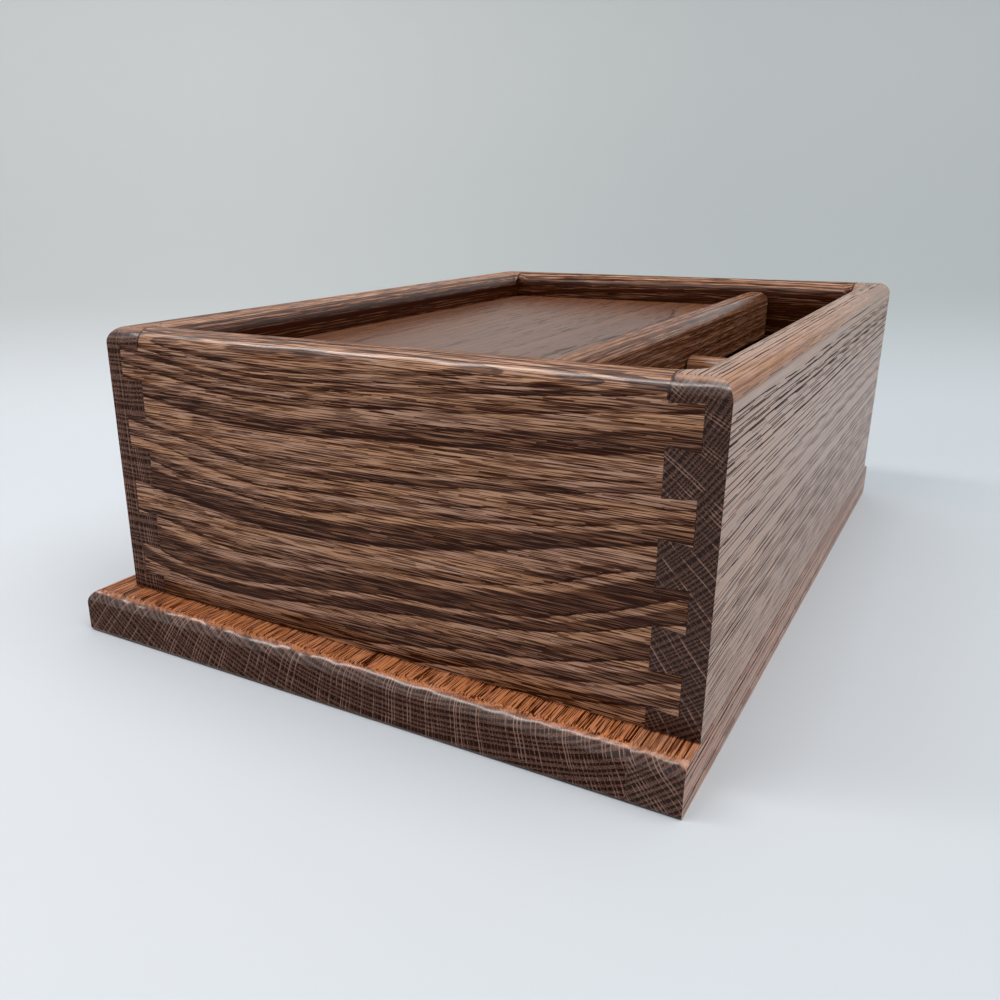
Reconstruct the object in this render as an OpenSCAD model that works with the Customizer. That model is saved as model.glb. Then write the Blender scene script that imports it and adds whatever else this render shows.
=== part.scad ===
// Valet box: a dovetailed oak box on an overhanging base, with a lift-out tray and a trough behind it.
// Millimetres. X runs along the box with the right end at +X, the front faces -Y, and +Z is up.
// The origin is the middle of the base's underside.

/* [Body] */
// Outside length of the body
body_l = 354; // [300:1:420]
// Outside depth of the body, front to back
body_w = 250; // [210:1:320]
// Height of the four boards
body_h = 112.5; // [90:0.5:150]
// Thickness of the four boards
wall_t = 18; // [16:0.5:22]
// Radius of the rim's outer edge
rim_outer_r = 6.5; // [3:0.5:7]
// Radius of the rim's inner edge
rim_inner_r = 9; // [4:0.5:9]
// Radius of the guide that rounded the rim's inner edge, which leaves curved inside corners
rim_guide_r = 6; // [4:0.5:9]

/* [Dovetails] */
// Tails at each corner
tail_count = 4; // [3:1:5]
// Width of a tail at its neck
tail_neck = 12.2; // [9:0.1:14]
// Rise of a tail's side over its length, as one in this many
tail_slope = 10; // [6:1:14]
// Wood left between a tail's end and the outer face of the front or back board
lap_t = 7.5; // [5:0.5:9]
// Glue gap around the tails
joint_gap = 0.1; // [0.05:0.05:0.2]

/* [Base] */
// Thickness of the base
base_t = 19; // [16:0.5:25]
// How far the base stands out at the front and at both ends
base_overhang = 15; // [8:0.5:24]
// Radius of the base's upper edge
base_round = 6; // [3:0.5:8]
// Small round along the base's lower edge
base_ease = 1.5; // [0.5:0.5:3]
// Width of the strip glued along the back of the base
strip_w = 18; // [16:0.5:30]

/* [Tray] */
// From the rim down to the tray's floor
tray_depth = 15; // [12:0.5:25]
// Thickness of the tray's panel
panel_t = 7.5; // [6:0.5:10]
// Radius of the panel's two front corners, seen from above
panel_corner_r = 10; // [4:0.5:20]
// Gap between the tray and the walls around it
tray_gap = 1; // [0.5:0.1:1.5]
// Thickness of the rail
rail_t = 16; // [13:0.5:20]
// Height of the rail
rail_h = 26; // [23:0.5:40]
// From the rim down to the rail's top
rail_drop = 6.5; // [4:0.5:8]
// Radius of the rail's two upper edges
rail_round = 6; // [3:0.5:6.5]
// How deep the panel's tongue goes into the rail
groove_depth = 5; // [3:0.5:7]
// Clear width of the trough between the rail and the back board
trough_w = 46; // [35:0.5:60]

/* [Partition] */
// Thickness of the cross partition
partition_t = 12; // [10:0.5:16]
// Radius of the partition's two upper edges
partition_round = 4.5; // [2:0.5:4.5]
// Depth of the housings in the front and back boards that hold the partition
dado_depth = 5; // [3:0.5:6]
// Fit of the partition in its housings
dado_gap = 0.1; // [0.05:0.05:0.3]
// Room around the rail in the partition's notch
notch_gap = 1; // [0.5:0.1:2]

/* [Cleats] */
// How far the cleats stand in from the boards
cleat_w = 12; // [10:0.5:18]
// Height of the cleats
cleat_h = 14; // [10:0.5:20]
// Round along a cleat's lower inside edge
cleat_ease = 2; // [1:0.5:3]

/* [Screws] */
// Shank diameter of the base screws
screw_d = 4.2; // [3.5:0.1:5]
// How far a base screw goes into its board
screw_bite = 22; // [15:1:35]
// Head diameter of the base screws
screw_head_d = 8.4; // [7:0.1:10]
// Head height of the base screws
screw_head_h = 3; // [2.5:0.1:4]
// Room around the base screws' heads
screw_head_room = 0.5; // [0.3:0.1:1]
// How far the heads lie above the base's underside
screw_recess = 1.5; // [0.5:0.5:3]
// Base screws along the front and the back board
long_screw_count = 3; // [2:1:5]
// Base screws along each end board
end_screw_count = 2; // [1:1:4]
// From a corner of the body to the nearest base screw
screw_inset = 42; // [35:1:60]
// Shank diameter of the cleat screws
cleat_screw_d = 3; // [2.5:0.1:3.5]
// How far a cleat screw goes into its board
cleat_screw_bite = 10; // [7:0.5:12]
// Head diameter of the cleat screws
cleat_head_d = 6; // [5:0.1:7]
// Head height of the cleat screws
cleat_head_h = 2; // [1.5:0.1:2.5]
// From a cleat's end to its nearest screw
cleat_screw_inset = 25; // [20:1:35]
// Screws in each cleat
cleat_screw_count = 2; // [1:1:3]
// Gap around every screw in its hole
screw_gap = 0.1; // [0.05:0.05:0.2]

/* [Hidden] */
$fn = 96;
over = 1;

oak_board = "#7a4c30";
oak_end = "#6b4029";
oak_base = "#8a5230";
oak_tray = "#84604a";
oak_hidden = "#9a6a44";
steel = "#a8a39a";

// Base and body
base_l = body_l + 2 * base_overhang;
base_w = body_w + base_overhang;
rim_z = base_t + body_h;
front_y = -base_w / 2 + base_overhang;
back_y = base_w / 2;
mid_y = (front_y + back_y) / 2;
inner_l = body_l - 2 * wall_t;
inner_w = body_w - 2 * wall_t;
inner_front_y = front_y + wall_t;
inner_back_y = back_y - wall_t;
cove_r = min(rim_inner_r, wall_t - rim_outer_r - 1);

// Dovetails
tail_pitch = body_h / tail_count;
tail_len = wall_t - lap_t;
tail_flare = tail_len / tail_slope;

// Tray
floor_z = rim_z - tray_depth;
seat_z = floor_z - panel_t;
rail_back_y = inner_back_y - trough_w;
rail_front_y = rail_back_y - rail_t;
rail_top_z = rim_z - rail_drop;
rail_bottom_z = rail_top_z - rail_h;
tray_l = inner_l - 2 * tray_gap;
panel_front_y = inner_front_y + tray_gap;

// Partition and cleats
dado_top_z = seat_z + dado_gap;
cleat_z = seat_z - cleat_h;
end_cleat_back_y = rail_front_y - notch_gap;
front_cleat_l = (inner_l - partition_t) / 2 - dado_gap;

// Screws
screw_seat_z = screw_recess + screw_head_h;
screw_top_z = base_t + screw_bite;
cleat_screw_z = cleat_z + cleat_h / 2;
cleat_seat = cleat_w - cleat_head_h;

// Places along a run of this length, a given inset from both ends
function spread(count, length, inset) =
    count < 2 ? [0] : [for (i = [0:count - 1]) (length - 2 * inset) * (i / (count - 1) - 0.5)];

long_screw_x = spread(long_screw_count, body_l, screw_inset);
short_screw_y = spread(end_screw_count, body_w, screw_inset);
end_cleat_l = end_cleat_back_y - inner_front_y;
end_cleat_mid_y = (end_cleat_back_y + inner_front_y) / 2;
front_cleat_mid_x = inner_l / 2 - front_cleat_l / 2;

// Flat shape standing on Y = 0 with its two upper corners rounded
module round_top(w, h, r) {
    translate([-w / 2, 0]) square([w, h - r]);
    translate([-w / 2 + r, 0]) square([w - 2 * r, h]);
    for (side = [-1, 1]) translate([side * (w / 2 - r), h - r]) circle(r);
}

// Flat shape with its upper corners at one radius and its lower corners at another
module round_slab(w, h, r, low_r) {
    translate([-w / 2, low_r]) square([w, h - r - low_r]);
    translate([-w / 2 + r, low_r]) square([w - 2 * r, h - low_r]);
    translate([-w / 2 + low_r, 0]) square([w - 2 * low_r, h - r]);
    for (side = [-1, 1]) {
        translate([side * (w / 2 - r), h - r]) circle(r);
        translate([side * (w / 2 - low_r), low_r]) circle(low_r);
    }
}

// Stretches a flat shape along X, centred, with the shape's width across Y
module along_x(length) {
    rotate([90, 0, 90]) translate([0, 0, -length / 2]) linear_extrude(length) children();
}

// Stretches a flat shape along Y, centred, with the shape's width across X
module along_y(length) {
    rotate([90, 0, 0]) translate([0, 0, -length / 2]) linear_extrude(length) children();
}

// Everything inside the body's outer faces and its rounded outer rim
module body_shape() {
    translate([0, mid_y, base_t]) intersection() {
        along_x(body_l) round_top(body_w, body_h, rim_outer_r);
        along_y(body_w) round_top(body_l, body_h, rim_outer_r);
    }
}

// Wood taken off a straight inner edge: a square less a quarter round, reaching into the wall at +X
module cove_section() {
    difference() {
        translate([-over, 0]) square([cove_r + over, cove_r + over]);
        translate([cove_r, 0]) circle(cove_r);
    }
}

// Wood taken off the rim's inner edge along the front (-1) or the back (1)
module long_cove(side) {
    translate([0, mid_y + side * inner_w / 2, rim_z - cove_r])
        along_x(inner_l - 2 * rim_guide_r)
            scale([side, 1]) cove_section();
}

// Wood taken off the rim's inner edge along the left (-1) or the right end (1)
module end_cove(side) {
    translate([side * inner_l / 2, mid_y, rim_z - cove_r])
        along_y(inner_w - 2 * rim_guide_r)
            scale([side, 1]) cove_section();
}

// Wood taken off where the guide turns in an inside corner
module corner_cove(side_x, side_y) {
    translate([side_x * (inner_l / 2 - rim_guide_r), mid_y + side_y * (inner_w / 2 - rim_guide_r), rim_z - cove_r])
        rotate_extrude()
            difference() {
                square([rim_guide_r + cove_r, cove_r + over]);
                translate([rim_guide_r + cove_r, 0]) circle(cove_r);
            }
}

// Side view of the tails at the back edge of an end board, grown by a gap
module tail_row(gap) {
    for (i = [0:tail_count - 1])
        translate([0, (i + 0.5) * tail_pitch])
            polygon([
                [-over, -tail_neck / 2 - gap],
                [0, -tail_neck / 2 - gap],
                [tail_len + gap, -tail_neck / 2 - tail_flare - gap],
                [tail_len + gap, tail_neck / 2 + tail_flare + gap],
                [0, tail_neck / 2 + gap],
                [-over, tail_neck / 2 + gap]
            ]);
}

// Tails at the front (-1) or back (1) edge of the left (-1) or right (1) end board
module tails(side_x, side_y, gap) {
    translate([side_x * (body_l - wall_t) / 2, mid_y + side_y * inner_w / 2, base_t])
        along_x(wall_t + 2 * gap)
            scale([side_y, 1]) tail_row(gap);
}

// Hole for a base screw with room for its head
module base_screw_hole() {
    translate([0, 0, -over]) cylinder(d = screw_head_d + 2 * screw_head_room, h = screw_seat_z + over);
    cylinder(d = screw_d + 2 * screw_gap, h = screw_top_z + over);
}

// Hole for a cleat screw, pointing along +X from the cleat's inner face
module cleat_screw_hole() {
    rotate([0, 90, 0]) {
        translate([0, 0, -over]) cylinder(d = cleat_head_d + 2 * screw_gap, h = cleat_head_h + over);
        cylinder(d = cleat_screw_d + 2 * screw_gap, h = cleat_w + cleat_screw_bite + over);
    }
}

// Wood screw pointing along +Z with its head's underside at Z = 0 and a slot in its head
module wood_screw(d, length, head_d, head_h) {
    tip = 1.5 * d;
    slot_w = head_d / 6;
    slot_h = head_h / 2;
    cylinder(d = d, h = length - tip);
    translate([0, 0, length - tip]) cylinder(d1 = d, d2 = d / 4, h = tip);
    difference() {
        translate([0, 0, -head_h]) cylinder(d = head_d, h = head_h);
        translate([-head_d, -slot_w / 2, -head_h - over]) cube([2 * head_d, slot_w, slot_h + over]);
    }
}

// Puts a child at every base screw under the front (-1) or the back board (1)
module at_long_screws(side) {
    for (x = long_screw_x)
        translate([x, mid_y + side * (body_w - wall_t) / 2, 0]) children();
}

// Puts a child at every base screw under the left (-1) or the right end board (1)
module at_end_screws(side) {
    for (y = short_screw_y)
        translate([side * (body_l - wall_t) / 2, mid_y + y, 0]) children();
}

// Puts a child at every base screw
module at_base_screws() {
    for (side = [-1, 1]) {
        at_long_screws(side) children();
        at_end_screws(side) children();
    }
}

// Puts a child at each screw of the left (-1) or right (1) cleat, pointing out at the end board
module at_end_cleat_screws(side) {
    for (y = spread(cleat_screw_count, end_cleat_l, cleat_screw_inset))
        translate([side * (inner_l / 2 - cleat_w), end_cleat_mid_y + y, cleat_screw_z])
            rotate([0, 0, side > 0 ? 0 : 180]) children();
}

// Puts a child at each screw of the left (-1) or right (1) front cleat, pointing out at the front board
module at_front_cleat_screws(side) {
    for (x = spread(cleat_screw_count, front_cleat_l, cleat_screw_inset))
        translate([side * front_cleat_mid_x + x, inner_front_y + cleat_w, cleat_screw_z])
            rotate([0, 0, -90]) children();
}

// The base before it is parted into board and strip
module base_shape() {
    intersection() {
        along_x(base_l) union() {
            translate([-base_w / 2, 0]) intersection() {
                translate([base_w, 0]) round_slab(2 * base_w, base_t, base_round, base_ease);
                square([base_w, base_t]);
            }
        }
        along_y(base_w) round_slab(base_l, base_t, base_round, base_ease);
    }
}

module base_board() {
    color(oak_base) difference() {
        intersection() {
            base_shape();
            translate([-base_l, -base_w, -over]) cube([2 * base_l, base_w + back_y - strip_w, base_t + 2 * over]);
        }
        at_base_screws() base_screw_hole();
    }
}

module base_back_strip() {
    color(oak_base) difference() {
        intersection() {
            base_shape();
            translate([-base_l, back_y - strip_w, -over]) cube([2 * base_l, base_w, base_t + 2 * over]);
        }
        at_base_screws() base_screw_hole();
    }
}

// Front (-1) or back (1) board: full length, with sockets at both ends and a housing for the partition
module long_board(side) {
    difference() {
        intersection() {
            body_shape();
            translate([-body_l, side < 0 ? front_y - over : inner_back_y, 0])
                cube([2 * body_l, wall_t + over, rim_z + over]);
        }
        long_cove(side);
        for (side_x = [-1, 1]) {
            corner_cove(side_x, side);
            tails(side_x, side, joint_gap);
        }
        translate([-partition_t / 2 - dado_gap, side < 0 ? inner_front_y - dado_depth : inner_back_y - over, 0])
            cube([partition_t + 2 * dado_gap, dado_depth + over, dado_top_z]);
        at_long_screws(side) base_screw_hole();
    }
}

module front_board() {
    color(oak_board) difference() {
        long_board(-1);
        for (side = [-1, 1]) at_front_cleat_screws(side) cleat_screw_hole();
    }
}

module back_board() {
    color(oak_board) long_board(1);
}

// Left (-1) or right (1) end board, with its tails
module end_board(side) {
    difference() {
        intersection() {
            body_shape();
            union() {
                translate([side * (body_l - wall_t) / 2 - wall_t / 2, inner_front_y, 0])
                    cube([wall_t, inner_w, rim_z + over]);
                for (side_y = [-1, 1]) tails(side, side_y, 0);
            }
        }
        end_cove(side);
        for (side_y = [-1, 1]) corner_cove(side, side_y);
        at_end_screws(side) base_screw_hole();
        at_end_cleat_screws(side) cleat_screw_hole();
    }
}

module left_end_board() {
    color(oak_end) end_board(-1);
}

module right_end_board() {
    color(oak_end) end_board(1);
}

module tray_panel() {
    color(oak_tray) translate([0, 0, seat_z]) linear_extrude(panel_t) {
        translate([-tray_l / 2, panel_front_y + panel_corner_r])
            square([tray_l, rail_front_y + groove_depth - panel_front_y - panel_corner_r]);
        translate([-tray_l / 2 + panel_corner_r, panel_front_y])
            square([tray_l - 2 * panel_corner_r, panel_corner_r + over]);
        for (side = [-1, 1])
            translate([side * (tray_l / 2 - panel_corner_r), panel_front_y + panel_corner_r])
                circle(panel_corner_r);
    }
}

module tray_rail() {
    color(oak_tray) difference() {
        translate([0, (rail_front_y + rail_back_y) / 2, rail_bottom_z])
            along_x(tray_l) round_top(rail_t, rail_h, rail_round);
        translate([-tray_l, rail_front_y - over, seat_z])
            cube([2 * tray_l, groove_depth + over, panel_t]);
    }
}

// Stands on the base in its housings; its top carries the tray, and a notch takes the rail
module cross_partition() {
    color(oak_hidden) difference() {
        translate([0, mid_y, base_t])
            along_y(inner_w + 2 * (dado_depth - dado_gap))
                round_top(partition_t, seat_z - base_t, partition_round);
        translate([-partition_t, rail_front_y - notch_gap, rail_bottom_z - notch_gap])
            cube([2 * partition_t, rail_t + 2 * notch_gap, rail_h]);
    }
}

// Cross-section of a cleat, with the board at X = 0 and its lower inside edge rounded
module cleat_section() {
    difference() {
        square([cleat_w, cleat_h]);
        translate([cleat_w - cleat_ease, -over]) square([cleat_ease + over, cleat_ease + over]);
    }
    translate([cleat_w - cleat_ease, cleat_ease]) circle(cleat_ease);
}

// Left (-1) or right (1) half of the front cleat, on either side of the partition
module front_cleat(side) {
    difference() {
        translate([side * front_cleat_mid_x, inner_front_y, cleat_z])
            along_x(front_cleat_l) cleat_section();
        at_front_cleat_screws(side) cleat_screw_hole();
    }
}

module front_cleat_left() {
    color(oak_hidden) front_cleat(-1);
}

module front_cleat_right() {
    color(oak_hidden) front_cleat(1);
}

// Left (-1) or right (1) cleat, from the front cleat back to the rail
module end_cleat(side) {
    difference() {
        translate([side * inner_l / 2, (inner_front_y + cleat_w + end_cleat_back_y) / 2, cleat_z])
            along_y(end_cleat_l - cleat_w)
                scale([-side, 1]) cleat_section();
        at_end_cleat_screws(side) cleat_screw_hole();
    }
}

module left_cleat() {
    color(oak_hidden) end_cleat(-1);
}

module right_cleat() {
    color(oak_hidden) end_cleat(1);
}

module base_screws() {
    color(steel) at_base_screws()
        translate([0, 0, screw_seat_z])
            wood_screw(screw_d, screw_top_z - screw_seat_z, screw_head_d, screw_head_h);
}

module cleat_screws() {
    color(steel) for (side = [-1, 1]) {
        at_end_cleat_screws(side) rotate([0, 90, 0]) translate([0, 0, cleat_head_h])
            wood_screw(cleat_screw_d, cleat_seat + cleat_screw_bite, cleat_head_d, cleat_head_h);
        at_front_cleat_screws(side) rotate([0, 90, 0]) translate([0, 0, cleat_head_h])
            wood_screw(cleat_screw_d, cleat_seat + cleat_screw_bite, cleat_head_d, cleat_head_h);
    }
}

base_board();
base_back_strip();
front_board();
back_board();
left_end_board();
right_end_board();
tray_panel();
tray_rail();
cross_partition();
front_cleat_left();
front_cleat_right();
left_cleat();
right_cleat();
base_screws();
cleat_screws();
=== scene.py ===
"""Looks of a dark-stained oak valet box with a lift-out tray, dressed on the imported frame.

Every length is in metres in the part's own frame: the middle of the base's underside is the
origin, +X points to the right end, +Y to the back and +Z up. The oak finish works in millimetres
inside its shader, on axes laid along the log that each board was sawn from.
"""

from __future__ import annotations

import logging
import math
from dataclasses import dataclass
from enum import Enum
from typing import Any

import bpy
import numpy as np
from mathutils import Matrix
from mathutils import Vector


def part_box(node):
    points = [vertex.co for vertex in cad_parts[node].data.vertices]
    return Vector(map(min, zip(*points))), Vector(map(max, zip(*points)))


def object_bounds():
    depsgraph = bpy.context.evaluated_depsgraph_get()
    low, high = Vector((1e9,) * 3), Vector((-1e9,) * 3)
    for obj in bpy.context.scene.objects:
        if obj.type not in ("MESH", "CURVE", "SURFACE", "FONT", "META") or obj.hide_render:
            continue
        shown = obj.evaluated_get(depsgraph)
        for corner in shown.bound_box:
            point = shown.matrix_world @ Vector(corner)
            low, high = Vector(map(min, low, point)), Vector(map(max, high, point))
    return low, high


LOG = logging.getLogger("valet_box")

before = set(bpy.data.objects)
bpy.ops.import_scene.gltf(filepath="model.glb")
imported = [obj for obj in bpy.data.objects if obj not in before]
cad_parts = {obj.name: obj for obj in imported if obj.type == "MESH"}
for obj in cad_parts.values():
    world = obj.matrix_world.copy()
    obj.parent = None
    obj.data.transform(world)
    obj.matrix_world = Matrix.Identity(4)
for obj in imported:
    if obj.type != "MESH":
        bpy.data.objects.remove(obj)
CAD_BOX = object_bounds()

MM = 1000.0
Pair = tuple[float, float]
Triple = tuple[float, float, float]
Ramp = list[tuple[float, Triple]]

# Linear colour of the stained oak by its tone, on long grain and on end grain
FACE_STAIN: Ramp = [
    (0.00, (0.024, 0.0052, 0.0012)),
    (0.25, (0.061, 0.0200, 0.0080)),
    (0.50, (0.144, 0.0660, 0.0390)),
    (0.75, (0.310, 0.1670, 0.1090)),
    (1.00, (0.475, 0.2920, 0.2100)),
]
END_STAIN: Ramp = [
    (0.00, (0.012, 0.0033, 0.0014)),
    (0.30, (0.038, 0.0142, 0.0088)),
    (0.60, (0.094, 0.0425, 0.0290)),
    (1.00, (0.275, 0.1600, 0.1240)),
]

# Roundings of the rim and of the base's upper edge in metres
RIM_ROUND = 0.0065
BASE_ROUND = 0.006


class Grain(Enum):
    """The part axis that a board's fibres run along, as a turn about Z that lays it on the log's X."""

    ALONG_X = 0.0
    ALONG_Y = -90.0


@dataclass(frozen=True)
class Mottle:
    """Soft noise of one scale.

    Attributes:
        lengths: how far it stretches along each axis.
        detail: the number of finer octaves.
    """

    lengths: Triple
    detail: float = 1.0


# Unevenness of the wood in millimetres, along the fibres and twice across them
SLOW_BEND = Mottle((190.0, 60.0, 60.0))
RIPPLE = Mottle((70.0, 16.0, 16.0))
RAGGED_EDGE = Mottle((20.0, 1.1, 1.1), 2.0)
PORE_DRIFT = Mottle((90.0, 6.0, 6.0))
RAY_WANDER = Mottle((40.0, 9.0, 9.0))
RAY_FADE = Mottle((40.0, 5.0, 5.0))
FIBRE = Mottle((40.0, 0.65, 0.65), 2.0)
HAIR = Mottle((16.0, 0.32, 0.32))
CLOUD = Mottle((110.0, 22.0, 22.0), 2.0)
WARM_PATCH = Mottle((45.0, 3.5, 3.5))
EDGE_WAVE = Mottle((30.0, 13.0, 13.0))


@dataclass(frozen=True)
class Growth:
    """How every log has grown. A pair of numbers is where a smooth step starts and ends.

    Attributes:
        slide: how far apart along the log the boards' noise lies, in mm.
        bow_span: the length that a bow is given for, in mm.
        ripple: the ripples' share of the slow bends' reach.
        pace_span: how far across the rings the years' width changes, in mm.
        pace_seed: how far apart the boards' changes of width lie.
        pace: how many years that change moves a ring by.
        share_spread: how far the early wood's share differs among years.
        early_fade: where early wood starts to fade, as a share of its width.
        year_end, row_end, band_end: where in a year the next early wood, row and band start to show.
        faint: the depth of stain that the faintest year keeps.
        row_fade: where the row of wide pores ends and is full, as shares of its width.
        band_fade: where in a year the end grain's porous band ends and is full.
        drift: how far a column of pores drifts in mm.
        starts: how far apart the columns may start, in stretches.
        tip, mouth: the shares of a stretch over which a pore half closes, and opens.
        rim: the pore's outer and inner radius, as shares of its room.
        row_wider, row_open: how much wider the pores of a row are, and how far they run on.
        ray_wander: how far a ray strays, in rooms.
        ray_seed: how far apart the boards' rays lie, in rooms.
        ray_edge: how far from its middle a ray ends and is full, in rooms.
        ray_fade: the noise at which a ray is gone and is whole.
    """

    slide: float = 640.0
    bow_span: float = 100.0
    ripple: float = 0.16
    pace_span: float = 7.0
    pace_seed: float = 7.3
    pace: float = 2.2
    share_spread: float = 0.4
    early_fade: float = 0.75
    year_end: float = 0.96
    faint: float = 0.38
    row_fade: Pair = (1.3, 0.7)
    row_end: float = 0.97
    band_fade: Pair = (0.52, 0.36)
    band_end: float = 0.93
    drift: float = 1.6
    starts: float = 17.0
    tip: float = 0.03
    mouth: float = 0.04
    rim: Pair = (0.30, 0.19)
    row_wider: float = 0.20
    row_open: float = 0.88
    ray_wander: float = 0.7
    ray_seed: float = 31.0
    ray_edge: Pair = (0.20, 0.09)
    ray_fade: Pair = (-0.22, 0.12)


@dataclass(frozen=True)
class Stain:
    """How stain and varnish take on every board. A tone runs from 0, dark, to 1, pale.

    Attributes:
        end_grain: how squarely fibres are cut where end grain starts and is full.
        turning: how squarely fibres are cut where long grain starts to calm and is calm.
        calmed: how much of the streaks and pores is gone from calm long grain.
        rounded: the normal's greatest part where a rounded edge starts and is full.
        edge_filled: how much of the pores is filled on rounded edges.
        face: the tone of plain long grain.
        fibre, hair, cloud: the depth of fibre streaks, hair-thin streaks and slow changes of tone.
        hair_edge: the noise at which a hair-thin streak starts and is full.
        row: how much darker the row of wide pores is.
        end: the tone of plain end grain.
        end_band, end_pore: how much darker its porous band and its pores are.
        end_hair: the depth of its speckle.
        end_ray: how much paler its rays are.
        ray_clear: how much of the porous band a ray interrupts.
        joint: how much darker the joint lines are.
        warm_edge: the noise at which a warm patch starts and is full.
        plain, warm: factors on the colour outside the warm patches and in them.
        raised: the fibres' height as a share of a pore's depth.
        rough, pore_rough, cloud_rough: the wood's roughness, and what pores and slow changes add.
        end_dry: how much of the varnish the end grain has drunk.
    """

    end_grain: Pair = (0.42, 0.70)
    turning: Pair = (0.10, 0.45)
    calmed: float = 0.75
    rounded: Pair = (0.992, 0.93)
    edge_filled: float = 0.8
    face: float = 0.735
    fibre: float = 1.10
    hair: float = 0.58
    hair_edge: Pair = (-0.05, 0.05)
    cloud: float = 0.18
    row: float = 0.08
    end: float = 0.64
    end_band: float = 0.50
    end_pore: float = 0.36
    end_hair: float = 0.28
    end_ray: float = 0.95
    ray_clear: float = 0.8
    joint: float = 0.6
    warm_edge: Pair = (-0.16, 0.16)
    plain: Triple = (1.02, 0.98, 0.95)
    warm: Triple = (1.08, 0.96, 0.76)
    raised: float = 0.2
    rough: float = 0.48
    pore_rough: float = 0.2
    cloud_rough: float = 0.1
    end_dry: float = 0.75


@dataclass(frozen=True)
class StainLines:
    """Where stain has gathered along the joints, and where painted shade darkens the box's inside and the
    foot of its walls, in metres. A pair is where a smooth step starts and ends.

    Attributes:
        shade_wall_fade: how far outside the box's inner faces the painted shade inside starts and is full.
        shade_rim_fade: how far below the rim the painted shade inside starts and is full.
        rim_foot: how far below the rim the flat outer faces start.
        lap: how far in from the front and back faces the dovetails start.
        flat_cheek: the normal's part along X where an end face ends and a tilted cheek starts.
        steep_cheek: the same where a face along the box ends and a tilted cheek starts.
        cheek_depth: how far below the end face a joint line ends and is full.
        line: the half width of the line across a rim's corner, and of its full part.
        line_start: how far inside of the end board's inner face that line starts.
        foot_shade_wide: how far from the walls the dark line on the base ends and is full.
        foot_shade_deep: how far below the walls' foot that line ends and is full.
    """

    shade_wall_fade: Pair = (0.006, 0.001)
    shade_rim_fade: Pair = (0.0012, 0.006)
    rim_foot: Pair = (0.0066, 0.0072)
    lap: Pair = (0.0006, 0.0012)
    flat_cheek: Pair = (0.985, 0.95)
    steep_cheek: Pair = (0.15, 0.25)
    cheek_depth: Pair = (0.0012, 0.0008)
    line: Pair = (0.0006, 0.0003)
    line_start: float = 0.001
    # foot_shade_wide: how far from the walls the painted shade line on the base ends and is full.
    foot_shade_wide: Pair = (0.0016, 0.0004)
    # foot_shade_deep: how far below the walls' foot that painted shade ends and is full.
    foot_shade_deep: Pair = (0.0006, 0.0002)


GROWTH = Growth()
STAIN = Stain()
LINES = StainLines()


class Value:
    """One number of a shader. It wraps an output socket, and operators on it add Math nodes."""

    def __init__(self, graph: "Graph", socket: bpy.types.NodeSocket | None) -> None:
        """Keeps the graph that new Math nodes go into, and the output socket, or None without one."""
        self.graph = graph
        self.socket = socket

    def other(self, name: str) -> "Value":
        """Returns another output of the same node, by its name."""
        return Value(self.graph, self.socket.node.outputs[name])

    def __add__(self, term: "Value | float") -> "Value":
        """Returns this value plus a term."""
        return self.graph.math("ADD", self, term)

    def __radd__(self, term: float) -> "Value":
        """Returns a number plus this value."""
        return self.graph.math("ADD", term, self)

    def __sub__(self, term: "Value | float") -> "Value":
        """Returns this value less a term."""
        return self.graph.math("SUBTRACT", self, term)

    def __rsub__(self, term: float) -> "Value":
        """Returns a number less this value."""
        return self.graph.math("SUBTRACT", term, self)

    def __mul__(self, term: "Value | float") -> "Value":
        """Returns this value times a term."""
        return self.graph.math("MULTIPLY", self, term)

    def __rmul__(self, term: float) -> "Value":
        """Returns a number times this value."""
        return self.graph.math("MULTIPLY", term, self)

    def __truediv__(self, term: "Value | float") -> "Value":
        """Returns this value divided by a term."""
        return self.graph.math("DIVIDE", self, term)

    def __rtruediv__(self, term: float) -> "Value":
        """Returns a number divided by this value."""
        return self.graph.math("DIVIDE", term, self)

    def __abs__(self) -> "Value":
        """Returns this value without its sign."""
        return self.graph.math("ABSOLUTE", self)

    def root(self) -> "Value":
        """Returns the square root of this value."""
        return self.graph.math("SQRT", self)

    def part(self) -> "Value":
        """Returns what is left of this value above its whole number."""
        return self.graph.math("FRACT", self)

    def whole(self) -> "Value":
        """Returns the whole number at or below this value."""
        return self.graph.math("FLOOR", self)

    def most(self, term: "Value | float") -> "Value":
        """Returns the greater of this value and a term."""
        return self.graph.math("MAXIMUM", self, term)

    def above(self, term: "Value | float") -> "Value":
        """Returns 1 where this value is greater than a term, and 0 elsewhere."""
        return self.graph.math("GREATER_THAN", self, term)

    def step(self, start: "Value | float", end: "Value | float") -> "Value":
        """Returns a smooth step of this value: 0 at start, 1 at end, whichever is the greater."""
        return self.graph.node(
            "ShaderNodeMapRange",
            {"interpolation_type": "SMOOTHSTEP"},
            {"Value": self, "From Min": start, "From Max": end},
        )


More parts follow.
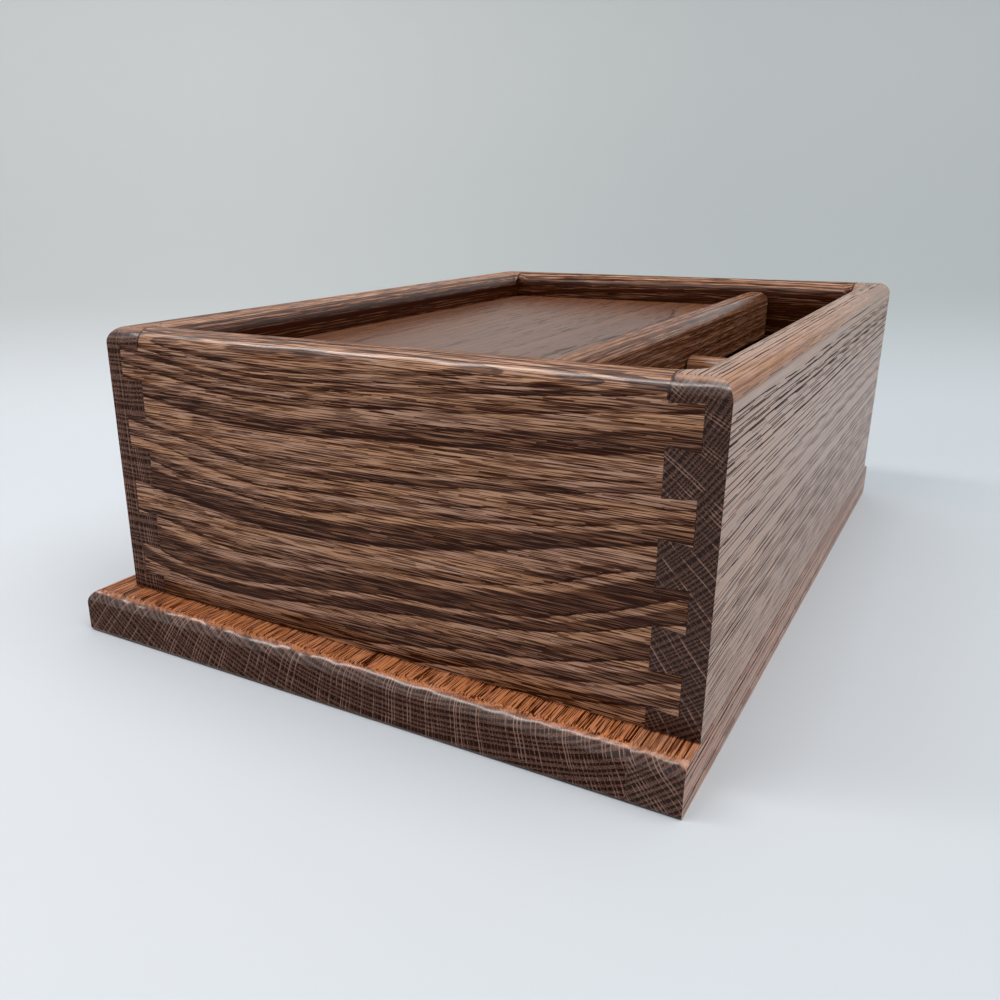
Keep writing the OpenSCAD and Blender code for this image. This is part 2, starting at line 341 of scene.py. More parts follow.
class Graph:
    """The node tree of one finish or of the world, written as expressions on values."""

    def __init__(self, owner: bpy.types.Material | bpy.types.World) -> None:
        """Empties the node tree of a material or world.

        Args:
            owner: the new material or world.
        """
        owner.use_nodes = True
        self.owner = owner
        self.tree = owner.node_tree
        self.tree.nodes.clear()

    def node(
        self,
        kind: str,
        settings: dict[str, Any] | None = None,
        sockets: dict[str | int, Any] | None = None,
        out: str | int = 0,
    ) -> Value:
        """Adds one node: its settings are set first, then its sockets are given values or links.

        Args:
            kind: the node's type name.
            settings: its properties by name; a list under color_ramp gives the ramp's stops.
            sockets: values, or links from other values, by input name, identifier or number.
            out: the output that the returned value stands for.

        Returns:
            The chosen output of the new node.
        """
        new = self.tree.nodes.new(kind)
        for name, setting in (settings or {}).items():
            if name == "color_ramp":
                self.fill_ramp(new.color_ramp, setting)
            else:
                setattr(new, name, setting)
        for key, given in (sockets or {}).items():
            target = self.find(new.inputs, key)
            if isinstance(given, Value):
                self.tree.links.new(given.socket, target)
            else:
                target.default_value = given
        if not len(new.outputs):
            return Value(self, None)
        return Value(self, self.find(new.outputs, out))

    @staticmethod
    def find(sockets: Any, key: str | int) -> bpy.types.NodeSocket:
        """Returns one of a node's inputs or outputs by its identifier, its name or its number."""
        named = [socket for socket in sockets if socket.identifier == key]
        return named[0] if named else sockets[key]

    @staticmethod
    def fill_ramp(ramp: bpy.types.ColorRamp, stops: list[tuple[float, tuple]]) -> None:
        """Sets a ramp's stops.

        Args:
            ramp: the ramp of a new node, with its two stops.
            stops: position and linear colour of each stop, in rising order.
        """
        while len(ramp.elements) < len(stops):
            ramp.elements.new(0.5)
        for element, (place, colour) in zip(ramp.elements, stops):
            element.position = place
            element.color = (*colour, 1.0)

    def math(self, operation: str, first: Value | float, second: Value | float | None = None) -> Value:
        """Adds one Math node.

        Args:
            operation: the Math node's operation.
            first: its first value.
            second: its second value, where the operation takes two.

        Returns:
            The result.
        """
        sockets: dict[str | int, Any] = {0: first}
        if second is not None:
            sockets[1] = second
        return self.node("ShaderNodeMath", {"operation": operation}, sockets)

    def place(self) -> Value:
        """Returns the place on the part, in metres."""
        return self.node("ShaderNodeTexCoord", None, None, "Object")

    def split(self, vector: Value) -> tuple[Value, Value, Value]:
        """Returns the three parts of a vector."""
        apart = self.node("ShaderNodeSeparateXYZ", None, {0: vector})
        return apart, apart.other("Y"), apart.other("Z")

    def join(self, x: Value | float, y: Value | float, z: Value | float) -> Value:
        """Returns a vector from three numbers."""
        return self.node("ShaderNodeCombineXYZ", None, {0: x, 1: y, 2: z})

    def scaled(self, vector: Value, lengths: Triple) -> Value:
        """Returns a vector measured in other lengths, one per axis."""
        sizes = tuple(1.0 / length for length in lengths)
        return self.node("ShaderNodeVectorMath", {"operation": "MULTIPLY"}, {0: vector, 1: sizes})

    def noise(self, vector: Value, mottle: Mottle) -> Value:
        """Returns soft noise about zero, from about -0.5 to 0.5.

        Args:
            vector: the place, in the unit of the mottle's lengths.
            mottle: the noise's scale.

        Returns:
            The centred noise.
        """
        spread = self.scaled(vector, mottle.lengths)
        sockets = {"Vector": spread, "Scale": 1.0, "Detail": mottle.detail}
        return self.node("ShaderNodeTexNoise", {"noise_dimensions": "3D"}, sockets) - 0.5

    def tint(self, factor: Value | float, first: Any, second: Any, blend: str = "MIX") -> Value:
        """Returns a mix of two colours.

        Args:
            factor: how much of the second colour is taken.
            first: the first colour, as a value or a tuple of four.
            second: the second colour.
            blend: the Mix node's blend type.

        Returns:
            The mixed colour.
        """
        settings = {"data_type": "RGBA", "blend_type": blend}
        sockets = {"Factor_Float": factor, "A_Color": first, "B_Color": second}
        return self.node("ShaderNodeMix", settings, sockets, "Result_Color")

    def close(self, shader: Value) -> bpy.types.Material | bpy.types.World:
        """Joins a shader to the output of the material or world.

        Args:
            shader: the shader's output.

        Returns:
            The finished material or world.
        """
        kind = "World" if isinstance(self.owner, bpy.types.World) else "Material"
        self.node("ShaderNodeOutput" + kind, None, {"Surface": shader})
        return self.owner


@dataclass(frozen=True)
class OakFinish:
    """Red oak under dark stain and varnish, sawn out of a log whose pith runs beside the board.

    The rings are cylinders round the pith, bent by slow noise. Each year starts with porous wood
    that the stain turns dark and ends in dense tan wood. Pores are long cells, wide in the dark
    wood, where the varnish sinks in and leaves no gloss; rays are thin sheets along the radius.

    Attributes:
        grain: the axis that the fibres run along.
        pith: how far the pith lies from the board's middle, across the grain, sideways and up, in mm.
        lean: how far the board's axis leans from the pith, up and sideways, in degrees.
        bow: the log's bow in mm at 100 mm from its lowest point, and where along the board that is.
        ring: the mean width of a year in mm.
        bend: the reach of the slow bends in mm.
        ragged: how far the edge of a year strays from fibre to fibre in mm.
        pore_long: how far one pore is from the next along its column in mm.
        pore_room: the room across the grain for each column of pores in mm.
        pore_open: the part of a column that is open at the surface.
        pore_dark: how much darker a pore is.
        ray_room: the room for each ray in mm.
        seed: a number that gives this board its own noise.
        dark_share: the part of a year that is early wood.
        row_share: the part of a year that is the row of wide pores.
        band: how much darker early wood is.
        fine: the strength of the fibre streaks.
        inner: how much painted shade darkens the faces inside the box.
        jointed: whether stain has gathered along the board's dovetails.
        foot: how much painted shade darkens the board along the foot of the walls that stand on it.
        roll: the radius of the rounding over the board's ends in metres, or 0 without one.
        light: lifts the long-grain faces.
        end_light: lifts the end grain.
        warmth: a factor on each of red, green and blue of the long-grain faces.
        varnish: how much of the flat faces the varnish covers.
        sunk: how far the varnish is gone from an open pore.
        gloss: the varnish's index of refraction.
        sheen: the varnish's roughness on flat faces.
        edge_sheen: the varnish's roughness on rounded edges.
        worked: the height of the unevenness that sanding left on rounded edges.
    """

    grain: Grain
    pith: Pair
    lean: Pair = (0.0, 0.0)
    bow: Pair = (0.0, 0.0)
    ring: float = 2.4
    bend: float = 6.0
    ragged: float = 0.5
    pore_long: float = 18.0
    pore_room: float = 0.85
    pore_open: float = 0.59
    pore_dark: float = 0.54
    ray_room: float = 1.3
    seed: float = 0.0
    dark_share: float = 0.58
    row_share: float = 0.08
    band: float = 0.56
    fine: float = 1.0
    inner: float = 0.0
    jointed: bool = False
    foot: float = 0.0
    roll: float = 0.0
    light: float = 0.0
    end_light: float = 0.0
    warmth: Triple = (1.0, 1.0, 1.0)
    varnish: float = 0.17
    sunk: float = 0.45
    gloss: float = 1.6
    sheen: float = 0.10
    edge_sheen: float = 0.24
    worked: float = 80.0

    def log_axes(self, graph: Graph, node: str) -> Value:
        """Lays the log's axes on the part's Object coordinates, in millimetres.

        The grain is turned onto X and leaned as the saw left it, the pith becomes the axis, and
        the board's middle lies straight out from it along Y.

        Args:
            graph: the finish's node tree.
            node: the CAD node that is dressed.

        Returns:
            The place in the log: X along the fibres from the board's middle, Y and Z from the pith.
        """
        low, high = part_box(node)
        middle = (low + high) * (MM / 2.0)
        turn = Matrix.Rotation(math.radians(self.grain.value + self.lean[1]), 3, "Z")
        turn = Matrix.Rotation(math.radians(self.lean[0]), 3, "Y") @ turn
        away = (0.0, *self.pith) if self.grain is Grain.ALONG_X else (self.pith[0], 0.0, self.pith[1])
        heart = middle + Vector(away)
        out = turn @ (middle - heart)
        turn = Matrix.Rotation(-math.atan2(out.z, out.y), 3, "X") @ turn
        sockets = {
            "Vector": graph.place(),
            "Location": tuple(-(turn @ heart)),
            "Rotation": tuple(turn.to_euler("XYZ")),
            "Scale": (MM, MM, MM),
        }
        return graph.node("ShaderNodeMapping", {"vector_type": "POINT"}, sockets)

    def surface(self, graph: Graph, node: str) -> Value:
        """Works out the surface's normal.

        On the rounding over a board's end it points straight out from the rounding's axis.

        Args:
            graph: the finish's node tree.
            node: the CAD node that is dressed.

        Returns:
            The normal, free of the marks of the mesh's long triangles along that rounding.
        """
        meshed = graph.node("ShaderNodeNewGeometry", None, None, "Normal")
        if not self.roll:
            return meshed
        low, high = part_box(node)
        front = min(low.y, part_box("front_board")[0].y)
        back = max(high.y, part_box("back_board")[1].y)
        x, y, z = graph.split(graph.place())
        out = abs(x) - (max(-low.x, high.x) - self.roll)
        up = z - (high.z - self.roll)
        aside = (front + self.roll - y).most(y - (back - self.roll))
        turned = graph.join(graph.math("SIGN", x) * out, 0.0, up)
        turned = graph.node("ShaderNodeVectorMath", {"operation": "NORMALIZE"}, {0: turned})
        rolled = out.above(0.0) * up.above(0.0) * out.above(aside)
        sockets = {"Factor_Float": rolled, "A_Vector": meshed, "B_Vector": turned}
        return graph.node("ShaderNodeMix", {"data_type": "VECTOR"}, sockets, "Result_Vector")

    def facing(self, graph: Graph, normal: Value) -> tuple[Value, Value]:
        """Works out which way the surface faces.

        Args:
            graph: the finish's node tree.
            normal: the surface's normal.

        Returns:
            How squarely the surface cuts across the fibres, and 1 on rounded edges.
        """
        x, y, z = (abs(part) for part in graph.split(normal))
        edge = x.most(y).most(z).step(*STAIN.rounded)
        return (x if self.grain is Grain.ALONG_X else y), edge

    def years(self, graph: Graph, log: Value, spot: Value) -> tuple[Value, Value, Value]:
        """Works out the early wood: distance from the pith, bowed, bent and ragged, cut into years.

        Args:
            graph: the finish's node tree.
            log: the place in the log.
            spot: the same place, slid along by the seed.

        Returns:
            Early wood weighted by each year's depth of stain, the thin row of wide pores that starts
            each year, and the porous band that shows on end grain.
        """
        along, out_y, out_z = graph.split(log)
        slow = graph.noise(spot, SLOW_BEND) * self.bend
        ripple = graph.noise(spot, RIPPLE) * (GROWTH.ripple * self.bend)
        ragged = graph.noise(spot, RAGGED_EDGE) * self.ragged
        dip = (along - self.bow[1]) / GROWTH.bow_span
        radius = (out_y * out_y + out_z * out_z).root() + dip * dip * self.bow[0] + slow + ripple + ragged
        place = radius / GROWTH.pace_span + self.seed * GROWTH.pace_seed
        sockets = {"W": place, "Scale": 1.0, "Detail": 1.0}
        pace = graph.node("ShaderNodeTexNoise", {"noise_dimensions": "1D"}, sockets)
        count = radius / self.ring + pace * GROWTH.pace
        settings = {"noise_dimensions": "1D"}
        year = graph.node("ShaderNodeTexWhiteNoise", settings, {"W": count.whole()}, "Value")
        share = self.dark_share + (year - 0.5) * GROWTH.share_spread
        age = count.part()
        early = age.step(share, share * GROWTH.early_fade).most(age.step(GROWTH.year_end, 1.0))
        gone, fading = (self.row_share * part for part in GROWTH.row_fade)
        row = age.step(gone, fading).most(age.step(GROWTH.row_end, 1.0))
        porous = age.step(*GROWTH.band_fade).most(age.step(GROWTH.band_end, 1.0))
        return early * (GROWTH.faint + (1.0 - GROWTH.faint) * year), row, porous

    @staticmethod
    def inside(graph: Graph) -> Value:
        """Returns 1 on the faces inside the box, below its rounded rim, where painted shade darkens them,
        and 0 elsewhere.
        """
        x, y, z = graph.split(graph.place())
        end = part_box("right_end_board")[0].x
        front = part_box("front_board")[1].y
        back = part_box("back_board")[0].y
        rim = CAD_BOX[1][2]
        start, full = LINES.shade_wall_fade
        top, below = LINES.shade_rim_fade
        between = (y - front).step(-start, -full) * (back - y).step(-start, -full)
        return abs(x).step(end + start, end + full) * between * z.step(rim - top, rim - below)

    @staticmethod
    def joints(graph: Graph) -> Value:
        """Returns 1 along the dovetails and across the rim's corners, where stain gathers."""
        x, y, z = graph.split(graph.place())
        normal = graph.node("ShaderNodeNewGeometry", None, None, "True Normal")
        out = abs(graph.split(normal)[0])
        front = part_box("front_board")
        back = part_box("back_board")
        inner, outer = (corner.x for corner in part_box("right_end_board"))
        rim = CAD_BOX[1][2]
        below = z.step(rim - LINES.rim_foot[0], rim - LINES.rim_foot[1])
        inboard = (y - front[0].y).step(*LINES.lap) * (back[1].y - y).step(*LINES.lap)
        deep = abs(x).step(outer - LINES.cheek_depth[0], outer - LINES.cheek_depth[1])
        tilted = out.step(*LINES.flat_cheek) * out.step(*LINES.steep_cheek) * deep
        line = abs(y - front[1].y).step(*LINES.line).most(abs(y - back[0].y).step(*LINES.line))
        across = line * abs(x).step(inner - LINES.line_start, inner)
        return (inboard * tilted * below).most(across * (1.0 - below))

    @staticmethod
    def corner(graph: Graph) -> Value:
        """Returns 1 close along the foot of the outer walls, where painted shade darkens the board, and 0
        elsewhere.
        """
        x, y, z = graph.split(graph.place())
        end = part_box("right_end_board")[1].x
        front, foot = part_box("front_board")[0].yz
        deep = z.step(foot - LINES.foot_shade_deep[0], foot - LINES.foot_shade_deep[1])
        return (abs(x) - end).most(front - y).step(*LINES.foot_shade_wide) * deep

    def vessels(self, graph: Graph, log: Value, spot: Value, row: Value) -> Value:
        """Works out the pores: columns along the grain, each open for a stretch and then closed.

        The columns are the middles of flat cells across the grain. A column is open where the rest
        of its length, counted in stretches from a start of its own, is below the open share.

        Args:
            graph: the finish's node tree.
            log: the place in the log.
            spot: the same place, slid along by the seed.
            row: the rows where the pores are wide and run on.

        Returns:
            1 in an open pore and 0 in solid wood.
        """
        along, out_y, out_z = graph.split(log)
        drift = graph.noise(spot, PORE_DRIFT) * GROWTH.drift
        across = graph.join((out_y + drift) / self.pore_room, (out_z - drift) / self.pore_room, 0.0)
        settings = {"voronoi_dimensions": "2D", "feature": "F1"}
        sockets = {"Vector": across, "Scale": 1.0, "Randomness": 1.0}
        off = graph.node("ShaderNodeTexVoronoi", settings, sockets, "Distance")
        start = graph.split(off.other("Color"))[0]
        stretch = (along / self.pore_long + start * GROWTH.starts).part()
        closing = stretch.step(self.pore_open + GROWTH.tip, self.pore_open - GROWTH.tip)
        opened = closing * stretch.step(0.0, GROWTH.mouth)
        return (off - row * GROWTH.row_wider).step(*GROWTH.rim) * opened.most(row * GROWTH.row_open)

    def rays(self, graph: Graph, log: Value, spot: Value) -> tuple[Value, Value]:
        """Works out the rays, which are thin sheets along the radius, each of its own strength.

        Args:
            graph: the finish's node tree.
            log: the place in the log.
            spot: the same place, slid along by the seed.

        Returns:
            1 on every ray and 0 between them, and the same weighted by the rays' strength.
        """
        out_y, out_z = graph.split(log)[1:]
        sweep = graph.math("ARCTAN2", out_z, out_y) * (math.hypot(*self.pith) / self.ray_room)
        wander = graph.noise(spot, RAY_WANDER) * GROWTH.ray_wander
        place = sweep + wander + self.seed * GROWTH.ray_seed
        sockets = {"W": place, "Scale": 1.0, "Randomness": 1.0}
        settings = {"voronoi_dimensions": "1D", "feature": "F1"}
        near = graph.node("ShaderNodeTexVoronoi", settings, sockets, "Distance")
        strength = graph.split(near.other("Color"))[0]
        sheet = near.step(*GROWTH.ray_edge)
        fade = graph.noise(spot, RAY_FADE).step(*GROWTH.ray_fade)
        return sheet, sheet * strength * strength * fade

    def make(self, node: str) -> bpy.types.Material:
        """Builds the finish for one board.

        Args:
            node: the CAD node that is dressed.

        Returns:
            The material.
        """
        graph = Graph(bpy.data.materials.new("oak_" + node))
        log = self.log_axes(graph, node)
        slide = (GROWTH.slide * self.seed, 0.0, 0.0)
        spot = graph.node("ShaderNodeVectorMath", {"operation": "ADD"}, {0: log, 1: slide})
        normal = self.surface(graph, node)
        cut, edge = self.facing(graph, normal)
        end = cut.step(*STAIN.end_grain)
        calm = 1.0 - cut.step(*STAIN.turning) * STAIN.calmed
        stained, row, porous = self.years(graph, log, spot)
        sheet, ray = self.rays(graph, log, spot)
        pore = self.vessels(graph, log, spot, row) * (1.0 - edge * STAIN.edge_filled)
        fibre = graph.noise(spot, FIBRE)
        hair = graph.noise(spot, HAIR).step(*STAIN.hair_edge) - 0.5
        cloud = graph.noise(spot, CLOUD)

        streaks = (fibre * STAIN.fibre + hair * STAIN.hair) * self.fine
        ground = STAIN.face + self.light - stained * self.band + cloud * STAIN.cloud
        face_tone = ground + (streaks - row * STAIN.row - pore * self.pore_dark) * calm
        # Painted shade: the faces inside the box, below the rim, are darkened.
        if self.inner:
            face_tone = face_tone - self.inside(graph) * self.inner
        # Painted shade: the board is darkened along the foot of the walls that stand on it.
        if self.foot:
            face_tone = face_tone - self.corner(graph) * self.foot
        bands = porous * (1.0 - sheet * STAIN.ray_clear) * STAIN.end_band
        end_tone = STAIN.end + self.end_light - bands - pore * STAIN.end_pore
        end_tone = end_tone + hair * STAIN.end_hair + ray * STAIN.end_ray
        if self.jointed:
            joint = self.joints(graph) * STAIN.joint
            face_tone = face_tone - joint
            end_tone = end_tone - joint
        warmed = [(at, tuple(np.multiply(shade, self.warmth))) for at, shade in FACE_STAIN]
        face = graph.node("ShaderNodeValToRGB", {"color_ramp": warmed}, {"Fac": face_tone}, "Color")
        across = graph.node("ShaderNodeValToRGB", {"color_ramp": END_STAIN}, {"Fac": end_tone}, "Color")
        patch = graph.noise(spot, WARM_PATCH).step(*STAIN.warm_edge)
        drift = graph.tint(patch, (*STAIN.plain, 1.0), (*STAIN.warm, 1.0))
        face = graph.tint(1.0, face, drift, "MULTIPLY")
        colour = graph.tint(end, face, across)

        open_pore = pore * calm * (1.0 - end)
        uneven = graph.noise(spot, EDGE_WAVE) * edge * self.worked
        height = fibre * calm * STAIN.raised - open_pore + uneven
        relief = {"Height": height, "Strength": 0.16, "Distance": 0.00012, "Normal": normal}
        bumped = graph.node("ShaderNodeBump", None, relief, "Normal")
        kept = 1.0 - open_pore * self.sunk
        flat = graph.node(
            "ShaderNodeBsdfPrincipled",
            None,
            {
                "Base Color": colour,
                "Roughness": STAIN.rough + open_pore * STAIN.pore_rough + cloud * STAIN.cloud_rough,
                "Specular IOR Level": 0.02,
                "Normal": bumped,
                "Coat Weight": kept * (1.0 - end * STAIN.end_dry) * self.varnish,
                "Coat Roughness": self.sheen,
                "Coat IOR": self.gloss,
            },
        )
        sockets = {"Base Color": colour, "Roughness": self.edge_sheen, "IOR": self.gloss, "Normal": bumped}
        rounded = graph.node("ShaderNodeBsdfPrincipled", None, sockets)
        shader = graph.node("ShaderNodeMixShader", None, {0: edge, 1: flat, 2: rounded})
        return graph.close(shader)


@dataclass(frozen=True)
class ScrewSteel:
    """Plain zinc-bright steel of the screws, with turned rings and a little grime.

    Attributes:
        name: the material's name.
        clean: the bare steel's colour.
        dull: the colour under grime.
        grime: the patches of grime, in mm.
        rings: the marks of turning, in mm.
        grimy: where grime starts to show and is full.
        rough, grime_rough, ring_rough: the mean roughness, and what grime and turning add.
    """

    name: str = "screw_steel"
    clean: Triple = (0.62, 0.61, 0.59)
    dull: Triple = (0.36, 0.34, 0.31)
    grime: Mottle = Mottle((1.4, 1.4, 1.4), 3.0)
    rings: Mottle = Mottle((3.0, 3.0, 0.12))
    grimy: Pair = (-0.15, 0.35)
    rough: float = 0.34
    grime_rough: float = 0.25
    ring_rough: float = 0.10

    def make(self) -> bpy.types.Material:
        """Builds the finish.

        Returns:
            The material.
        """
        graph = Graph(bpy.data.materials.new(self.name))
        place = graph.place()
        spot = graph.node("ShaderNodeMapping", None, {"Vector": place, "Scale": (MM, MM, MM)})
        grime = graph.noise(spot, self.grime)
        rings = graph.noise(spot, self.rings)
        colour = graph.tint(grime.step(*self.grimy), (*self.clean, 1.0), (*self.dull, 1.0))
        rough = self.rough + grime * self.grime_rough + rings * self.ring_rough
        shader = graph.node(
            "ShaderNodeBsdfPrincipled",
            None,
            {"Base Color": colour, "Roughness": rough, "Metallic": 1.0},
        )
        return graph.close(shader)


@dataclass(frozen=True)
class PaperSweep:
    """Pale studio paper, a little cooler than white, with faint mottling and painted shade that deepens it
    up the wall and to the camera's right.

    Attributes:
        name: the material's name.
        pale: the floor's colour.
        low: the colour at the foot of the wall, where painted shade deepens the paper.
        high: the colour farther up the wall, with lighter painted shade.
        rise: the height where the wall's foot ends and where its upper part starts.
        side: the way to the camera's right.
        reach: how far to the right the painted shade starts to deepen the paper and is deepest.
        deep: the painted shade's factor on the colour at the right.
        mottle: the paper's mottling, in metres.
        mottled: how much the mottling deepens the paper.
    """

    name: str = "studio_paper"
    pale: Triple = (0.622, 0.674, 0.736)
    low: Triple = (0.466, 0.505, 0.526)
    high: Triple = (0.540, 0.575, 0.592)
    rise: Pair = (0.10, 0.40)
    side: Triple = (-0.518, 0.855, 0.0)
    reach: Pair = (-0.35, 0.30)
    deep: Triple = (0.81, 0.835, 0.84)
    mottle: Mottle = Mottle((0.05, 0.05, 0.05), 2.0)
    mottled: float = 0.1

    def make(self) -> bpy.types.Material:
        """Builds the finish: pale on the floor, with painted shade that deepens it on the wall and to the
        camera's right.

        Returns:
            The material.
        """
        graph = Graph(bpy.data.materials.new(self.name))
        place = graph.place()
        height = graph.split(place)[2]
        # Painted shade: the paper deepens from the floor up the wall.
        colour = graph.tint(height.step(0.0, self.rise[0]), (*self.pale, 1.0), (*self.low, 1.0))
        colour = graph.tint(height.step(*self.rise), colour, (*self.high, 1.0))
        settings = {"operation": "DOT_PRODUCT"}
        right = graph.node("ShaderNodeVectorMath", settings, {0: place, 1: self.side}, "Value")
        # Painted shade deepens the paper to the camera's right; the noise is the paper's own faint
        # mottling.
        shade = right.step(*self.reach) + graph.noise(place, self.mottle) * self.mottled
        colour = graph.tint(shade, colour, (*self.deep, 1.0), "MULTIPLY")
        shader = graph.node(
            "ShaderNodeBsdfPrincipled",
            None,
            {"Base Color": colour, "Roughness": 0.9, "Specular IOR Level": 0.1},
        )
        return graph.close(shader)


@dataclass
class Joinery:
    """Shared ways of dressing a CAD board: eased edges, then its finish.

    Attributes:
        ease: how far the usual easing reaches from an edge, in metres.
        steps: the number of facets across an easing.
        sharp: the least angle of an edge that is eased, in degrees.
        seam: the greatest gap between corners that are one corner, in metres.
        flatness: the greatest angle between triangles that are one flat face, in radians.
    """

    ease: float = 0.0003
    steps: int = 2
    sharp: float = 35.0
    seam: float = 1e-6
    flatness: float = 0.002

    def ease_edges(self, board: bpy.types.Object, width: float) -> None:
        """Rounds a board's sharp edges with modifiers, and leaves its mesh alone.

        Args:
            board: the CAD node's object.
            width: how far the easing reaches from each edge.
        """
        weld = board.modifiers.new("close_seams", "WELD")
        weld.merge_threshold = self.seam
        flat = board.modifiers.new("join_flats", "DECIMATE")
        flat.decimate_type = "DISSOLVE"
        flat.angle_limit = self.flatness
        soften = board.modifiers.new("ease_edges", "BEVEL")
        soften.width = width
        soften.segments = self.steps
        soften.limit_method = "ANGLE"
        soften.angle_limit = math.radians(self.sharp)
        soften.harden_normals = True

    def dress(self, node: str, finish: OakFinish, width: float | None = None) -> None:
        """Gives a CAD board its finish and its eased edges.

        Args:
            node: the CAD node's name.
            finish: the oak that it is sawn from.
            width: the easing, or None for the usual one.
        """
        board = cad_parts[node]
        for slot in board.material_slots:
            slot.material = finish.make(node)
        self.ease_edges(board, self.ease if width is None else width)
        LOG.info("dressed %s", node)


@dataclass
class Case(Joinery):
    """The fixed box: four dovetailed boards on a base with a back strip, and what stands inside."""

    right_end: OakFinish = OakFinish(
        Grain.ALONG_Y, (-590.0, -170.0), (0.0, 0.3), (-2.0, -20.0), ring=2.1, bend=8.0, ragged=0.28,
        inner=0.26, jointed=True, roll=RIM_ROUND, light=-0.02,
    )
    left_end: OakFinish = OakFinish(
        Grain.ALONG_Y, (590.0, -150.0), (0.0, 0.4), (2.0, 30.0), ring=2.2, bend=7.0, ragged=0.28, seed=1.0,
        inner=0.60, jointed=True, roll=RIM_ROUND, varnish=0.5, gloss=1.25, sheen=0.25,
    )
    back: OakFinish = OakFinish(
        Grain.ALONG_X, (-108.0, 110.0), ring=1.5, bend=1.6, ragged=0.10, pore_long=34.0, pore_room=0.62,
        pore_open=0.60, pore_dark=0.98, seed=2.0, row_share=0.22, band=0.03, fine=0.25, inner=0.26,
        jointed=True, roll=RIM_ROUND, light=0.10, end_light=-0.10, warmth=(0.96, 1.0, 1.05), varnish=1.0,
        sunk=0.98, gloss=1.61, sheen=0.30,
    )
    front: OakFinish = OakFinish(
        Grain.ALONG_X, (-4.0, 185.0), ring=2.4, bend=4.0, ragged=0.35, seed=3.0, fine=0.7, inner=0.50,
        jointed=True, roll=RIM_ROUND, light=-0.08, end_light=0.02,
    )
    base: OakFinish = OakFinish(
        Grain.ALONG_X, (45.0, 190.0), (0.4, 0.2), ring=2.1, bend=4.0, ragged=0.5, seed=4.0, band=0.36,
        fine=1.9, foot=0.5, roll=BASE_ROUND, light=0.17, warmth=(1.05, 0.74, 0.52), edge_sheen=0.25,
        worked=230.0,
    )
    strip: OakFinish = OakFinish(
        Grain.ALONG_X, (-96.0, 115.0), ring=1.9, bend=2.0, ragged=0.2, pore_long=24.0, pore_room=0.6,
        pore_dark=0.5, seed=5.0, row_share=0.22, band=0.2, fine=0.6, foot=0.5, roll=BASE_ROUND, light=0.12,
        warmth=(1.04, 0.84, 0.68), varnish=1.0, sunk=0.95, gloss=1.52, sheen=0.28, edge_sheen=0.25,
        worked=230.0,
    )
    partition: OakFinish = OakFinish(Grain.ALONG_Y, (90.0, -40.0), seed=6.0, band=0.36)
    long_cleat: OakFinish = OakFinish(Grain.ALONG_X, (50.0, -60.0), seed=7.0)
    cross_cleat: OakFinish = OakFinish(Grain.ALONG_Y, (60.0, -70.0), seed=8.0)

    def dress_boards(self) -> None:
        """Dresses the four walls, each sawn from its own log."""
        self.dress("right_end_board", self.right_end)
        self.dress("left_end_board", self.left_end)
        self.dress("back_board", self.back)
        self.dress("front_board", self.front)

    def dress_base(self) -> None:
        """Dresses the base board and the strip glued along its back edge."""
        self.dress("base_board", self.base)
        self.dress("base_back_strip", self.strip)

    def dress_inside(self) -> None:
        """Dresses the cross partition and the cleats that carry the tray."""
        self.dress("cross_partition", self.partition)
        self.dress("front_cleat_left", self.long_cleat)
        self.dress("front_cleat_right", self.long_cleat)
        self.dress("left_cleat", self.cross_cleat)
        self.dress("right_cleat", self.cross_cleat)

    def dress_screws(self) -> None:
        """Dresses the screws; their own CAD chamfers are left as they are."""
        steel = ScrewSteel().make()
        for node in ("base_screws", "cleat_screws"):
            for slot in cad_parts[node].material_slots:
                slot.material = steel
            LOG.info("dressed %s", node)


@dataclass
class Tray(Joinery):
    """The lift-out tray: a thin panel tongued into the rail that it is lifted by."""

    panel: OakFinish = OakFinish(
        Grain.ALONG_X, (60.0, -130.0), pore_long=90.0, pore_room=1.3, pore_open=0.16, pore_dark=0.42,
        seed=9.0, band=0.08, row_share=0.03, fine=0.14, light=-0.26, varnish=0.85, gloss=1.3, sheen=0.25,
    )
    rail: OakFinish = OakFinish(
        Grain.ALONG_X, (-70.0, 80.0), pore_dark=0.30, seed=10.0, band=0.26, fine=0.5, light=-0.16,
        varnish=0.3,
    )
    panel_ease: float = 0.0008

    def dress_parts(self) -> None:
        """Dresses the panel and the rail."""
        self.dress("tray_panel", self.panel, self.panel_ease)
        self.dress("tray_rail", self.rail)


@dataclass(frozen=True)
class SoftBox:
    """One soft rectangular light, whose width runs along the part's Y.

    Attributes:
        name: the light's name.
        place: where it stands.
        size: its width and height.
        power: its power in watts.
        colour: the colour of its light.
    """

    name: str
    place: Triple
    size: Pair
    power: float
    colour: Triple = (1.0, 0.95, 0.91)

    def hang(self, aim: Vector) -> None:
        """Adds the light to the scene.

        Args:
            aim: the point that it faces.
        """
        data = bpy.data.lights.new(self.name, "AREA")
        data.shape = "RECTANGLE"
        data.size, data.size_y = self.size
        data.energy = self.power
        data.color = self.colour
        light = bpy.data.objects.new(self.name, data)
        place = Vector(self.place)
        back = (place - aim).normalized()
        wide = (Vector((0.0, 1.0, 0.0)) - back * back.y).normalized()
        turn = Matrix((wide, back.cross(wide), back)).transposed().to_4x4()
        light.matrix_world = Matrix.Translation(place) @ turn
        bpy.context.scene.collection.objects.link(light)


